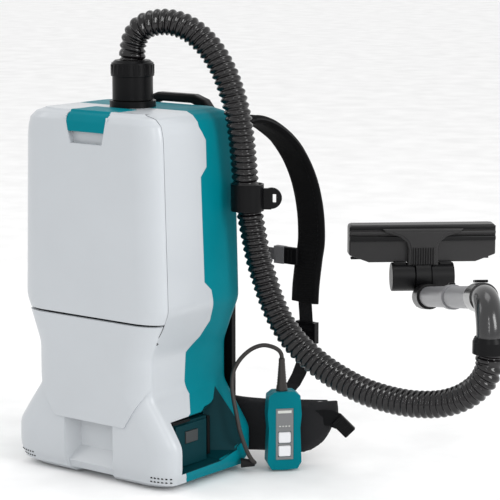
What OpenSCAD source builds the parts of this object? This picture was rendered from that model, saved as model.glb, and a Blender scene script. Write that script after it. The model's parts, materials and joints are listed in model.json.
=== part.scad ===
// Backpack vacuum cleaner with harness, hose, wand and floor nozzle.
// Origin: centre of the base plane. +Z up, front of the cleaner towards -Y.

/* [Casing] */
// Half width of the upper casing
upper_hw = 131; // [125:1:136]
// Half width of the waist
waist_hw = 104; // [98:1:108]
// Half width of the feet
foot_hw = 150; // [146:1:156]
// Front face of the casing, as a distance in front of the origin
front_y = 112; // [106:1:116]
// Back face of the casing, as a distance behind the origin
back_y = 80; // [76:1:84]
// Height of the casing without the inlet collar
casing_h = 525; // [520:1:530]
// Wall thickness of the casing
wall = 3; // [2.4:0.2:3.4]

/* [Lid] */
// Height of the lid's lower edge
lid_z = 236; // [232:1:240]
// Distance of the lid seam in front of the origin
seam_y = 91; // [88:1:94]
// Half width of the lid latch
latch_hw = 34; // [30:1:36]

/* [Hose and wand] */
// Outer diameter of the hose
hose_d = 38; // [36:1:40]
// Outer diameter of the wand tube
wand_d = 32; // [30:1:34]
// Length of the wand tube
wand_len = 500; // [450:5:520]
// Width of the floor nozzle
nozzle_w = 236; // [220:2:250]

/* [Power] */
// Battery pack length along its slide
pack_l = 112; // [108:1:114]
// Battery pack width
pack_w = 76; // [72:1:77]
// Battery pack height
pack_h = 62; // [58:1:63]

/* [Remote] */
// Width of the remote handset
remote_w = 50; // [46:1:52]
// Height of the remote handset
remote_h = 114; // [108:1:116]
// Depth of the remote handset
remote_t = 26; // [24:1:28]

/* [Hidden] */
$fn = 48;
eps = 0.01;
gap = 0.4;
inlet = [0, -12];
wand_root = [545.7, 75.7];
wand_yaw = 131.9;
wand_pitch = 10.7;
wand_start = 7.2;
remote_at = [186, 98.5];
remote_yaw = 48;
remote_z = 3;
barrel_at = [609, 0, 217];
hinge_y = 108;
hinge_x = [-66, 66];

// Casing sections from the floor up: height, half width, front, back
casing_rows = [
    [3, foot_hw - 22, front_y - 14, back_y - 14],
    [10, foot_hw - 6, front_y - 4, back_y - 6],
    [26, foot_hw, front_y, back_y],
    [64, foot_hw, front_y, back_y],
    [98, waist_hw + 22, front_y, back_y],
    [128, waist_hw, front_y, back_y],
    [186, waist_hw, front_y, back_y],
    [222, waist_hw + 14, front_y, back_y],
    [252, upper_hw, front_y, back_y],
    [casing_h - 30, upper_hw - 7, front_y, back_y],
    [casing_h - 14, upper_hw - 11, front_y - 1, back_y - 3],
    [casing_h - 5, upper_hw - 19, front_y - 5, back_y - 9],
    [casing_h, upper_hw - 30, front_y - 13, back_y - 20]
];
corner_x = 42;
corner_y = 20;
rear_r = 22;
arc_n = 5;

// Quarter arc of a corner: centre, radii and first angle
function corner(cx, cy, rx, ry, a0) =
    [for (i = [0:arc_n]) let (a = a0 + 90 * i / arc_n) [cx + rx * cos(a), cy + ry * sin(a)]];

// One closed section of the casing, pulled in by d
function section(hw, yf, yb, d) =
    let (w = hw - d, f = yf - d, b = yb - d, r = rear_r - d, rx = corner_x - d, ry = corner_y - d)
    concat(corner(-w + rx, -f + ry, rx, ry, 180), corner(w - rx, -f + ry, rx, ry, 270),
           corner(w - r, b - r, r, r, 0), corner(-w + r, b - r, r, r, 90));

// Heights are pulled in at the two ends only
function row_z(i, d) = i == 0 ? casing_rows[0][0] + d
    : i == len(casing_rows) - 1 ? casing_rows[i][0] - d : casing_rows[i][0];

function casing_rings(d) = [for (i = [0:len(casing_rows) - 1])
    [for (p = section(casing_rows[i][1], casing_rows[i][2], casing_rows[i][3], d)) [p[0], p[1], row_z(i, d)]]];

// Closed solid through a list of rings with the same number of points
module skin(rings) {
    n = len(rings[0]);
    m = len(rings);
    points = [for (r = rings, p = r) p];
    sides = [for (i = [0:m - 2], j = [0:n - 1], k = [0:1])
        let (a = i * n + j, b = i * n + (j + 1) % n, c = a + n, e = b + n)
        k == 0 ? [a, c, b] : [b, c, e]];
    bottom = [for (j = [0:n - 1]) j];
    top = [for (j = [n - 1:-1:0]) (m - 1) * n + j];
    polyhedron(points, concat(sides, [bottom, top]));
}

function unit(v) = v / norm(v);
function tangent(path, i) = unit(path[min(i + 1, len(path) - 1)] - path[max(i - 1, 0)]);

// Rings of a round cord along a path
function tube_rings(path, r, n) = [for (i = [0:len(path) - 1])
    let (t = tangent(path, i), u = unit(cross(t, [-0.15, 1, 0])), v = cross(t, u))
    [for (j = [0:n - 1]) let (a = -360 * j / n) path[i] + r * (cos(a) * u + sin(a) * v)]];

// Rings of a flat band along a path, its width lying along the direction across
function band_rings(path, w, t, across) = [for (i = [0:len(path) - 1])
    let (d = tangent(path, i), n = unit(cross(d, across)), s = cross(n, d), e = min(t / 2, 4))
    [for (q = [[-w / 2, -t / 2 + e], [-w / 2 + e, -t / 2], [w / 2 - e, -t / 2], [w / 2, -t / 2 + e],
               [w / 2, t / 2 - e], [w / 2 - e, t / 2], [-w / 2 + e, t / 2], [-w / 2, t / 2 - e]])
        path[i] + q[0] * s + q[1] * n]];

// Smooth curve through a route, parts pieces to each interval
function spline(p, parts) = concat([for (i = [0:len(p) - 2], k = [0:parts - 1])
    let (t = k / parts, a = p[max(i - 1, 0)], b = p[i], c = p[i + 1], d = p[min(i + 2, len(p) - 1)])
    0.5 * (2 * b + (c - a) * t + (2 * a - 5 * b + 4 * c - d) * t * t + (3 * b - a - 3 * c + d) * t * t * t)],
    [p[len(p) - 1]]);

// Route of the suction hose, from the inlet cuff to the grip cuff
hose_route = [
    [0, -12, 592], [0, -12, 598], [0, -12, 604], [3, -10, 621], [12, -6, 636], [30, 1, 644],
    [52, 11, 645], [74, 20, 638], [94, 28, 623], [112, 33, 603], [128, 36, 578], [141, 37, 550],
    [150, 38, 522], [154, 41, 492], [155, 45, 461], [155, 49, 430], [156, 53, 400], [160, 56, 370],
    [165, 58, 342], [172, 59, 312], [181, 60, 286], [191, 60, 262], [204, 60, 238], [220, 61, 216],
    [239, 61, 198], [261, 62, 183], [286, 63, 169], [315, 64, 157], [347, 65, 147], [381, 67, 141],
    [416, 68, 139], [449, 70, 141], [479, 71, 147], [507, 73, 159], [529, 74.5, 176], [541, 75.5, 193],
    [545.7, 75.7, 208], [545.7, 75.7, 216], [545.7, 75.7, 224]
];

// Route of the remote's cable, from its strain relief to the gland in the foot
cable_route = [
    [184.4, 97.2, 163.9], [184.1, 97, 169], [181, 95, 175.5], [174, 89, 181], [163, 80, 183.5],
    [151, 69, 178], [140.5, 58, 165], [135, 49, 149], [136, 43, 133], [141, 38, 117], [148, 34, 101],
    [154, 32, 84], [158, 33, 66], [161, 38, 48], [163, 44, 33], [165, 51, 21], [166, 58, 14]
];

// Centre lines of the right shoulder strap and of the right belt wing
strap_route = [
    [68, 88, 488], [70, 98, 491], [80, 116, 497], [97, 140, 500], [111, 168, 485], [123, 196, 455], [132, 217, 412], [137, 228, 364],
    [138, 231, 317], [137, 226, 286], [135, 222, 250], [134, 221, 222]
];
web_route = [
    [134, 221, 222], [135, 223, 190], [137, 222, 160], [142, 205, 132], [145, 178, 106], [140, 145, 88],
    [130, 118, 80]
];
belt_route = [
    [84, 98, 57], [104, 98, 57], [124, 102, 57], [150, 112, 57], [178, 129, 57], [206, 147, 57],
    [222, 158, 57], [236, 168, 57]
];
belt_web_route = [
    [212.6, 141.5, 72], [222, 147.5, 72.5], [233, 152, 72], [243, 157, 68]
];

module casing_wall() {
    difference() {
        skin(casing_rings(0));
        skin(casing_rings(wall));
    }
}

// Box given by its lowest and highest corners
module block(low, high) {
    translate(low) cube(high - low);
}

module mirror_pair() {
    children();
    mirror([1, 0, 0]) children();
}

module bay_cut() {
    mirror_pair() block([102, -86, 24], [170, 2, 98]);
}

module rear_shell() {
    color("teal") difference() {
        intersection() {
            casing_wall();
            union() {
                block([-200, -19.8, 60], [200, 120, 560]);
                block([-200, -59.8, -1], [200, 120, 60 + eps]);
            }
        }
        bay_cut();
        translate([inlet[0], inlet[1], casing_h - 20]) cylinder(h = 40, r = 30);
    }
}

module front_shell() {
    color("whitesmoke") difference() {
        intersection() {
            casing_wall();
            union() {
                block([-200, -150, 60], [200, -20, 560]);
                block([-200, -150, -1], [200, -60, 60 + eps]);
            }
        }
        block([-200, -150, lid_z - 3], [200, -seam_y, 560]);
        block([-44, -150, -1], [40, -96, 84]);
        bay_cut();
        translate([inlet[0], inlet[1], casing_h - 20]) cylinder(h = 40, r = 30);
    }
    color("whitesmoke") for (x = hinge_x, d = [-11, 5]) block([x + d, -hinge_y - 0.6, 224], [x + d + 6, -102, 241]);
    color("whitesmoke") difference() {
        block([-47, -front_y + 2, 3.5], [43, -92, 87]);
        block([-44, -front_y - 2, 22], [40, -95, 84]);
    }
}

module front_bib() {
    color("whitesmoke") translate([0, -front_y - gap, 0]) rotate([90, 0, 0]) linear_extrude(4.5)
        polygon([[-waist_hw + 32, 232], [-waist_hw + 26, 128], [-64, 88], [64, 88],
                 [waist_hw - 26, 128], [waist_hw - 32, 232]]);
}

module base_tray() {
    color("dimgray") block([-70, -50, 0], [70, 30, 2.8]);
}

module rubber_feet() {
    color("black") for (x = [-100, 100], y = [-72, 46])
        translate([x, y, 0]) difference() {
            cylinder(h = 2.8, r = 10);
            translate([0, 0, -1]) cylinder(h = 2, r = 3);
        }
}

module lid() {
    color("white") difference() {
        union() {
            intersection() {
                casing_wall();
                block([-200, -150, lid_z], [200, -seam_y - gap, 560]);
            }
            block([-latch_hw - 4, -front_y + 2, 476], [latch_hw + 4, -seam_y - 4, casing_h - 7]);
            for (x = hinge_x) block([x - 4.6, -hinge_y - 1.5, lid_z], [x + 4.6, -hinge_y + 4, lid_z + 6]);
        }
        block([-latch_hw - 1, -150, 480], [latch_hw + 1, -front_y + 8, 560]);
        block([-latch_hw - 1, -150, casing_h - 15.5], [latch_hw + 1, -seam_y - 3.2, 560]);
        translate([-80, -hinge_y, lid_z + 2]) rotate([0, 90, 0]) cylinder(h = 160, r = 1.56);
        for (x = hinge_x, d = [-11.4, 4.6])
            block([x + d, -150, lid_z - 1], [x + d + 6.8, -hinge_y + 8, lid_z + 5.4]);
    }
}

module lid_latch() {
    color("teal") difference() {
        union() {
            block([-latch_hw, -front_y - 1.5, 497], [latch_hw, -front_y + 7.4, casing_h - 3]);
            block([-latch_hw, -front_y, casing_h - 12.4], [latch_hw, -seam_y - 6.6, casing_h + 1]);
        }
        translate([-60, -104, casing_h - 7]) rotate([0, 90, 0]) cylinder(h = 120, r = 2.05);
    }
}

module latch_pin() {
    color("silver") translate([-latch_hw - 2.5, -104, casing_h - 7]) rotate([0, 90, 0])
        cylinder(h = 2 * latch_hw + 5, r = 2);
}

module lid_seal() {
    color("black") difference() {
        block([-118, -88, 244], [118, -84, 506]);
        block([-112, -95, 250], [112, -80, 500]);
    }
}

module hinge_pins() {
    color("silver") for (x = hinge_x)
        translate([x - 9, -hinge_y, lid_z + 2]) rotate([0, 90, 0]) cylinder(h = 18, r = 1.5);
}

module casing_screws() {
    color("gray") for (x = [-60, 60], z = [150, 300, 440])
        translate([x, back_y - 1, z]) rotate([-90, 0, 0]) cylinder(h = 3, r = 4);
}

module inlet_collar() {
    color("black") translate([inlet[0], inlet[1], casing_h - 12]) difference() {
        union() {
            cylinder(h = 12, r = 29.5);
            translate([0, 0, 12.2]) cylinder(h = 9, r = 33);
            cylinder(h = 21, r = 28);
            translate([0, 0, 20]) cylinder(h = 32, r = 24);
        }
        translate([0, 0, -1]) cylinder(h = 60, r = 20);
    }
}

module inlet_cuff() {
    color("black") translate([inlet[0], inlet[1], 0]) difference() {
        union() {
            translate([0, 0, 535]) cylinder(h = 36, r = 29);
            translate([0, 0, 569]) cylinder(h = 19, r1 = 31, r2 = 30);
            translate([0, 0, 587]) cylinder(h = 4.5, r1 = 30, r2 = 25);
        }
        translate([0, 0, 530]) cylinder(h = 40, r = 24.08);
        translate([0, 0, 569]) cylinder(h = 30, r = 15);
    }
}

module hose() {
    color("dimgray") skin(tube_rings(spline(hose_route, 2), hose_d / 2, 12));
}

module hose_clip() {
    color("black") translate([156, 53, 0]) {
        difference() {
            translate([0, 0, 382]) cylinder(h = 38, r = hose_d / 2 + 4.5);
            translate([0, 0, 370]) cylinder(h = 60, r = hose_d / 2 + 1.8);
        }
        rotate([0, 0, 33]) difference() {
            union() {
                block([22, -3, 384], [34, 3, 414]);
                translate([34, 3, 400]) rotate([90, 0, 0]) cylinder(h = 6, r = 15);
            }
            translate([0, 0, 370]) cylinder(h = 60, r = hose_d / 2 + 1.9);
            block([36, -10, 394], [41, 10, 406]);
        }
    }
}

module bag_holder() {
    color("gray") difference() {
        block([-60, -66, 492], [60, 42, 496]);
        translate([inlet[0], inlet[1], 480]) cylinder(h = 30, r = 21);
    }
}

module dust_bag() {
    color("wheat") translate([0, -11, 0]) hull() {
        translate([0, 0, 252]) linear_extrude(236) offset(r = 24) square([120, 54], center = true);
        translate([0, 0, 266]) linear_extrude(208) offset(r = 36) square([116, 44], center = true);
    }
}

module hepa_filter() {
    color("white") {
        block([-88, -60, 212], [88, 50, 216]);
        for (i = [0:21]) block([-86 + 8 * i, -58, 215.5], [-82 + 8 * i, 48, 238]);
    }
}

module filter_frame() {
    color("teal") difference() {
        block([-92, -64, 210], [92, 54, 242]);
        block([-88.3, -60.3, 200], [88.3, 50.3, 250]);
    }
}

module motor_housing() {
    color("dimgray") translate([0, -10, 0]) difference() {
        translate([0, 0, 116]) cylinder(h = 82, r = 66);
        translate([0, 0, 120]) cylinder(h = 74, r = 62);
        translate([0, 0, 190]) cylinder(h = 20, r = 26);
        translate([0, 0, 110]) cylinder(h = 20, r = 30);
    }
}

module motor() {
    color("silver") translate([0, -10, 0]) {
        translate([0, 0, 124]) cylinder(h = 40, r = 40);
        translate([0, 0, 160]) cylinder(h = 8, r = 20);
        translate([0, 0, 168]) cylinder(h = 20, r = 4);
    }
}

module motor_mount() {
    color("black") translate([0, -10, 0]) difference() {
        translate([0, 0, 130]) cylinder(h = 12, r = 61.7);
        translate([0, 0, 120]) cylinder(h = 30, r = 40);
    }
}

module impeller() {
    color("gray") translate([0, -10, 0]) difference() {
        union() {
            translate([0, 0, 171]) cylinder(h = 2, r = 56);
            translate([0, 0, 171]) cylinder(h = 14, r = 10);
            for (a = [0:40:320]) rotate([0, 0, a]) block([9, -1, 172], [55, 1, 184]);
        }
        translate([0, 0, 160]) cylinder(h = 40, r = 4.05);
    }
}

module control_board() {
    color("green") block([-50, 66, 120], [50, 68, 190]);
}

module exhaust_filter() {
    color("black") block([-60, -40, 100], [60, 40, 112]);
}

module battery_dock() {
    difference() {
        block([14, -85.8, 24.2], [118, 1.8, 97.8]);
        block([17, -82.8, 27.2], [140, -1.2, 94.8]);
    }
}

module battery_dock_right() {
    color("darkslategray") battery_dock();
}

module battery_dock_left() {
    color("darkslategray") mirror([1, 0, 0]) battery_dock();
}

module battery_pack() {
    difference() {
        union() {
            block([18, -42 - pack_w / 2, 29], [18 + pack_l - 4, -42 + pack_w / 2, 29 + pack_h]);
            block([24, -42 - pack_w / 2 + 4, 27.8], [18 + pack_l, -42 + pack_w / 2 - 4, 29 + pack_h - 3]);
        }
        block([18 + pack_l - 9, -56, 60], [18 + pack_l + 10, -28, 78]);
    }
}

module battery_button() {
    block([18 + pack_l - 5, -55.5, 60.5], [18 + pack_l + 1.5, -28.5, 77.5]);
}

module battery_right() {
    color("black") battery_pack();
}

module battery_left() {
    color("black") mirror([1, 0, 0]) battery_pack();
}

module battery_button_right() {
    color("red") battery_button();
}

module battery_button_left() {
    color("red") mirror([1, 0, 0]) battery_button();
}

module carry_handle() {
    color("black") translate([0, 96.5, 0]) rotate([90, 0, 0]) linear_extrude(16) polygon([
        [-68, 500], [-67, 516], [-55, 530], [-34, 537], [34, 537], [55, 530], [67, 516], [68, 500],
        [54, 500], [52, 510], [43, 519], [29, 524], [-29, 524], [-43, 519], [-52, 510], [-54, 500]]);
}

module back_plate() {
    color("black") difference() {
        hull() for (x = [-88, 88], z = [50, 490])
            translate([x, back_y + 0.4, z]) rotate([-90, 0, 0]) cylinder(h = 9, r = 18, $fn = 32);
        for (x = [-60, 60], z = [150, 300, 440])
            translate([x, 70, z]) rotate([-90, 0, 0]) cylinder(h = 30, r = 4.5);
        block([-45, 70, 486], [45, 110, 520]);
    }
}

module back_pads() {
    color("black") for (s = [[140, 230], [270, 360], [400, 480]])
        hull() for (x = [-72, 72], z = [s[0] + 14, s[1] - 14])
            translate([x, back_y + 9.7, z]) rotate([-90, 0, 0]) cylinder(h = 20, r1 = 16, r2 = 12, $fn = 24);
}

module shoulder_strap_right() {
    color("black") skin(band_rings(spline(strap_route, 2), 50, 14, [1, 0, 0]));
}

module shoulder_strap_left() {
    color("black") mirror([1, 0, 0]) skin(band_rings(spline(strap_route, 2), 50, 14, [1, 0, 0]));
}

module strap_webbing() {
    color("black") mirror_pair()
        skin(band_rings([for (p = spline(web_route, 2)) p + [0, 0, -0.5]], 25, 2.5, [1, 0, 0]));
}

module ladder_locks() {
    color("black") mirror_pair() translate([136, 223.5, 176]) difference() {
        block([-18, -5, -16], [18, 5, 16]);
        block([-13.5, -10, -11], [13.5, 10, -4]);
        block([-13.5, -10, 3], [13.5, 10, 10]);
        block([-13.2, -3.5, -20], [13.2, 3.5, 20]);
    }
}

module chest_strap() {
    color("gray") mirror_pair() {
        block([60, 216, 281], [111.6, 218.5, 299]);
        block([82, 212, 277], [100, 222, 303]);
    }
}

module belt_right() {
    color("black") skin(band_rings(spline(belt_route, 2), 90, 16, [0, 0, 1]));
}

module belt_left() {
    color("black") mirror([1, 0, 0]) skin(band_rings(spline(belt_route, 2), 90, 16, [0, 0, 1]));
}

module belt_webbing() {
    color("black") mirror_pair() skin(band_rings(belt_web_route, 25, 2.5, [-0.3, -0.2, 1]));
}

module belt_buckle() {
    color("black") mirror_pair() translate([240, 155, 72]) rotate([0, 45, 35]) block([0, -5, -10], [30, 5, 10]);
}

module remote_frame() {
    translate([remote_at[0], remote_at[1], 0]) rotate([0, 0, remote_yaw]) children();
}

module remote_outline(inset) {
    w = remote_w / 2 - inset;
    polygon([[-w + 6, remote_z + inset], [0, remote_z - 1 + inset], [w - 6, remote_z + inset], [w, remote_z + 10],
             [w - 2, remote_z + 60], [w, remote_z + 80], [w - 2, remote_z + remote_h - 6],
             [w - 10, remote_z + remote_h - inset], [-w + 10, remote_z + remote_h - inset],
             [-w + 2, remote_z + remote_h - 6], [-w, remote_z + 80], [-w + 2, remote_z + 60], [-w, remote_z + 10]]);
}

module remote_front() {
    color("teal") remote_frame() difference() {
        translate([0, 0, 0]) rotate([90, 0, 0]) linear_extrude(remote_t / 2) remote_outline(0);
        translate([0, eps, 0]) rotate([90, 0, 0]) linear_extrude(remote_t / 2 - 3) remote_outline(3);
        block([-13, -remote_t, remote_z + 14], [13, -remote_t / 2 + 1.5, remote_z + 90]);
        block([-9.5, -remote_t, remote_z + 18.5], [9.5, 0, remote_z + 35.5]);
        block([-9.5, -remote_t, remote_z + 38.5], [9.5, 0, remote_z + 55.5]);
    }
}

module remote_back() {
    color("teal") remote_frame() difference() {
        translate([0, remote_t / 2, 0]) rotate([90, 0, 0]) linear_extrude(remote_t / 2 - 0.2) remote_outline(0);
        translate([0, remote_t / 2 - 3, 0]) rotate([90, 0, 0]) linear_extrude(remote_t / 2) remote_outline(3);
    }
    color("teal") remote_frame() block([-8, remote_t / 2 - 1, 62], [8, remote_t / 2 + 6, 104]);
}

module remote_panel() {
    color("gray") remote_frame() difference() {
        block([-12.8, -remote_t / 2 + 0.2, remote_z + 14.2], [12.8, -remote_t / 2 + 1.4, remote_z + 89.8]);
        block([-9.5, -remote_t, remote_z + 18.5], [9.5, 0, remote_z + 35.5]);
        block([-9.5, -remote_t, remote_z + 38.5], [9.5, 0, remote_z + 55.5]);
    }
}

module remote_button(z) {
    color("white") remote_frame() block([-9, -remote_t / 2 - 1.2, z], [9, -remote_t / 2 + 4, z + 16]);
}

module remote_button_lower() {
    remote_button(remote_z + 19);
}

module remote_button_upper() {
    remote_button(remote_z + 39);
}

module remote_relief() {
    color("black") remote_frame() translate([-2, 0.3, 0]) translate([0, 0, remote_z + remote_h + 0.1])
        cylinder(h = 164 - remote_z - remote_h, r1 = 9, r2 = 4.5);
}

module remote_cable() {
    color("dimgray") skin(tube_rings(spline(cable_route, 2), 3.1, 8));
}

module cable_gland() {
    color("black") translate([166, 58, 14]) rotate([0, 90, 214]) cylinder(h = 20, r1 = 4.5, r2 = 7);
}

module wand_frame() {
    translate([wand_root[0], wand_root[1], 0]) rotate([0, 0, wand_yaw]) children();
}

// Frame on the wand's axis: +X runs along the wand from the end of the grip's bend
module wand_line() {
    wand_frame() translate([44, 0, 246]) rotate([0, wand_pitch, 0]) translate([0, 0, 44]) children();
}

module grip_cuff() {
    color("black") wand_frame() difference() {
        union() {
            translate([0, 0, 224.3]) cylinder(h = 16, r = 23);
            translate([0, 0, 240]) cylinder(h = 6, r1 = 23, r2 = 20.5);
        }
        translate([0, 0, 230]) cylinder(h = 40, r = 18.08);
        translate([0, 0, 220]) cylinder(h = 20, r = 15);
    }
}

module grip() {
    color("dimgray") {
        wand_frame() {
            translate([0, 0, 232]) difference() {
                cylinder(h = 14, r = 18);
                translate([0, 0, -1]) cylinder(h = 16, r = 14);
            }
            translate([44, 0, 246]) rotate([90, 0, 180]) rotate_extrude(angle = 90 + wand_pitch)
                translate([44, 0]) difference() {
                    circle(r = 18);
                    circle(r = 14);
                }
        }
        wand_line() translate([-3, 0, 0]) rotate([0, 90, 0]) difference() {
            cylinder(h = 49, r = 20);
            translate([0, 0, -1]) cylinder(h = 60, r = wand_d / 2 + 0.05);
        }
    }
}

module suction_slider() {
    color("black") wand_line() block([12, -9, 20.2], [30, 9, 24]);
}

module wand() {
    color("lightgray") wand_line() translate([wand_start, 0, 0])
        rotate([0, 90, 0]) difference() {
            union() {
                cylinder(h = wand_len, r = wand_d / 2);
                translate([0, 0, 240]) cylinder(h = 30, r = wand_d / 2 + 2.5);
            }
            translate([0, 0, -1]) cylinder(h = wand_len + 2, r = wand_d / 2 - 1.5);
            translate([-wand_d / 2 - 4, -5, 249]) cube([7, 10, 12]);
        }
}

module wand_button() {
    color("black") wand_line() translate([wand_start, 0, wand_d / 2]) block([249.5, -4.5, -1], [260.5, 4.5, 5]);
}

module nozzle_neck() {
    color("black") difference() {
        union() {
            wand_line() translate([wand_len - 16, 0, 0]) rotate([0, 90, 0]) difference() {
                union() {
                    cylinder(h = 52, r = 20);
                    translate([0, 0, 52 - eps]) cylinder(h = 20, r1 = 20, r2 = 14);
                }
                translate([0, 0, -1]) cylinder(h = 26, r = wand_d / 2 + 0.05);
                translate([0, 0, 20]) cylinder(h = 40, r = 13);
            }
            barrel_line(12) cylinder(h = 24, r = 25.5);
            wand_frame() block([barrel_at[0] - 22, -11.5, 172], [barrel_at[0] + 12, 11.5, barrel_at[2] - 20.5]);
        }
        barrel_line(30) cylinder(h = 60, r = 20.06);
        for (y = [50.5, -12.5]) barrel_line(y) cylinder(h = 38, r = 23.6);
    }
}

// Frame on the nozzle's tilting axis, its +Z running towards -Y from the given y
module barrel_line(y) {
    wand_frame() translate([barrel_at[0], y, barrel_at[2]]) rotate([90, 0, 0]) children();
}

module nozzle_barrel() {
    color("dimgray") wand_frame() translate([barrel_at[0], 50, barrel_at[2]]) rotate([90, 0, 0]) {
        cylinder(h = 100, r = 20);
        for (z = [0, 63]) translate([0, 0, z]) cylinder(h = 37, r = 23);
    }
}

module nozzle_head() {
    color("dimgray") wand_frame() {
        difference() {
            block([602, -nozzle_w / 2, 240.6], [634, nozzle_w / 2, 302]);
            block([610, -nozzle_w / 2 + 6, 246], [640, nozzle_w / 2 - 6, 296]);
            translate([594, -200, 302]) rotate([0, 24, 0]) cube([20, 400, 20]);
            translate([barrel_at[0], 13, barrel_at[2]]) rotate([90, 0, 0]) cylinder(h = 26, r = 26.3);
        }
        mirror_y() block([600, 27, 226], [618, 46, 241]);
    }
}

module mirror_y() {
    children();
    mirror([0, 1, 0]) children();
}

module nozzle_sole() {
    color("black") wand_frame() {
        block([634.1, -nozzle_w / 2 + 6, 241.5], [641, nozzle_w / 2 - 6, 245.5]);
        block([634.1, -nozzle_w / 2 + 6, 296.5], [641, nozzle_w / 2 - 6, 300.5]);
    }
}

rear_shell();
front_shell();
front_bib();
base_tray();
rubber_feet();
lid();
lid_seal();
lid_latch();
latch_pin();
hinge_pins();
casing_screws();
inlet_collar();
inlet_cuff();
hose();
hose_clip();
bag_holder();
dust_bag();
hepa_filter();
filter_frame();
motor_housing();
motor();
motor_mount();
impeller();
control_board();
exhaust_filter();
battery_dock_right();
battery_dock_left();
battery_right();
battery_left();
battery_button_right();
battery_button_left();
carry_handle();
back_plate();
back_pads();
shoulder_strap_right();
shoulder_strap_left();
strap_webbing();
ladder_locks();
chest_strap();
belt_right();
belt_left();
belt_webbing();
belt_buckle();
remote_front();
remote_back();
remote_panel();
remote_button_upper();
remote_button_lower();
remote_relief();
remote_cable();
cable_gland();
grip_cuff();
grip();
suction_slider();
wand();
wand_button();
nozzle_neck();
nozzle_barrel();
nozzle_head();
nozzle_sole();
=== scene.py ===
import json
import math

import bmesh
import bpy
from mathutils import Matrix, Vector

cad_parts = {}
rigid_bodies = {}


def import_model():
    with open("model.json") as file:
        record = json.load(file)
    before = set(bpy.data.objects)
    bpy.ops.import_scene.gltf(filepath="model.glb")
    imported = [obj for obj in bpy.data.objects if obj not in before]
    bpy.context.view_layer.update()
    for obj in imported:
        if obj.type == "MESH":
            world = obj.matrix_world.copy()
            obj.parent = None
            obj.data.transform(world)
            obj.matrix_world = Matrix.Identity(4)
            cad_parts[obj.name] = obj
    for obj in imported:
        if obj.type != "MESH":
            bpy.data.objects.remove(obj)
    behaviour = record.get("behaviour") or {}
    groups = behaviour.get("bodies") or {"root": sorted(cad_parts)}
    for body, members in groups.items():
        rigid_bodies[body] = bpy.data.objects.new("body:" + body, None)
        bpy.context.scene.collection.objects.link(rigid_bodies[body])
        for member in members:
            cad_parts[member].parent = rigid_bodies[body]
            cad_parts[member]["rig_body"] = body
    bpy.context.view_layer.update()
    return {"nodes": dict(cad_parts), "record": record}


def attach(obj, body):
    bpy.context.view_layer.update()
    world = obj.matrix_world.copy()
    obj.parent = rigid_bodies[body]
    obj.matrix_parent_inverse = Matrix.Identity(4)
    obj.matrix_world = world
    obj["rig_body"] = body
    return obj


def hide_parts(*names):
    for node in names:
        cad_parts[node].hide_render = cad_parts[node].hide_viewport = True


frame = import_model()
SCENE = bpy.context.scene
MM = 0.001
FLOOR_HALF = 14.0
FLOOR_DROP = 0.0005


# ---------------------------------------------------------------- camera, stage, light

def make_camera():
    """The photograph's view: from the front right, a little above, with a long lens."""
    azimuth, pitch = math.radians(38.0), math.radians(9.6)
    back = Vector((math.sin(azimuth) * math.cos(pitch), -math.cos(azimuth) * math.cos(pitch),
                   math.sin(pitch)))
    data = bpy.data.cameras.new("camera")
    data.sensor_width = 36.0
    data.lens = 153.9
    data.clip_end = 50
    camera = bpy.data.objects.new("camera", data)
    camera.location = (2.000, -2.301, 0.831)
    camera.rotation_euler = back.to_track_quat("Z", "Y").to_euler()
    SCENE.collection.objects.link(camera)
    SCENE.camera = camera


def area_light(name, place, target, size, watts, colour=(1, 1, 1)):
    data = bpy.data.lights.new(name, "AREA")
    data.shape = "RECTANGLE"
    data.size, data.size_y = size
    data.energy = watts
    data.color = colour
    light = bpy.data.objects.new(name, data)
    light.location = place
    light.rotation_euler = (Vector(place) - Vector(target)).to_track_quat("Z", "Y").to_euler()
    SCENE.collection.objects.link(light)


def make_stage():
    world = bpy.data.worlds.new("studio")
    SCENE.world = world
    world.use_nodes = True
    world.node_tree.nodes["Background"].inputs["Color"].default_value = (1, 1, 1, 1)
    world.node_tree.nodes["Background"].inputs["Strength"].default_value = 1.0
    SCENE.view_settings.view_transform = "Standard"
    middle = (0.05, 0.0, 0.28)
    area_light("key", (-2.6, -1.4, 2.2), middle, (1.0, 1.0), 7)
    area_light("side", (2.8, -0.2, 1.5), middle, (0.8, 1.6), 34)
    area_light("top", (0.1, 0.5, 2.8), middle, (1.2, 1.2), 9)
    area_light("strip", (1.5, -2.0, 1.3), (0.3, 0.1, 0.35), (0.05, 1.6), 8)
    mesh = bpy.data.meshes.new("floor")
    r = FLOOR_HALF
    mesh.from_pydata([(-r, -r, 0), (r, -r, 0), (r, r, 0), (-r, r, 0)], [], [(0, 1, 2, 3)])
    floor = bpy.data.objects.new("floor", mesh)
    floor.location.z = -FLOOR_DROP
    SCENE.collection.objects.link(floor)
    floor.data.materials.append(material("floor_pale", (0.9, 0.9, 0.9), 0.9, grain=0))


# ---------------------------------------------------------------- materials

def node_of(tree, kind, **inputs):
    node = tree.nodes.new(kind)
    for key, value in inputs.items():
        node.inputs[key.replace("_", " ")].default_value = value
    return node


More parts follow.
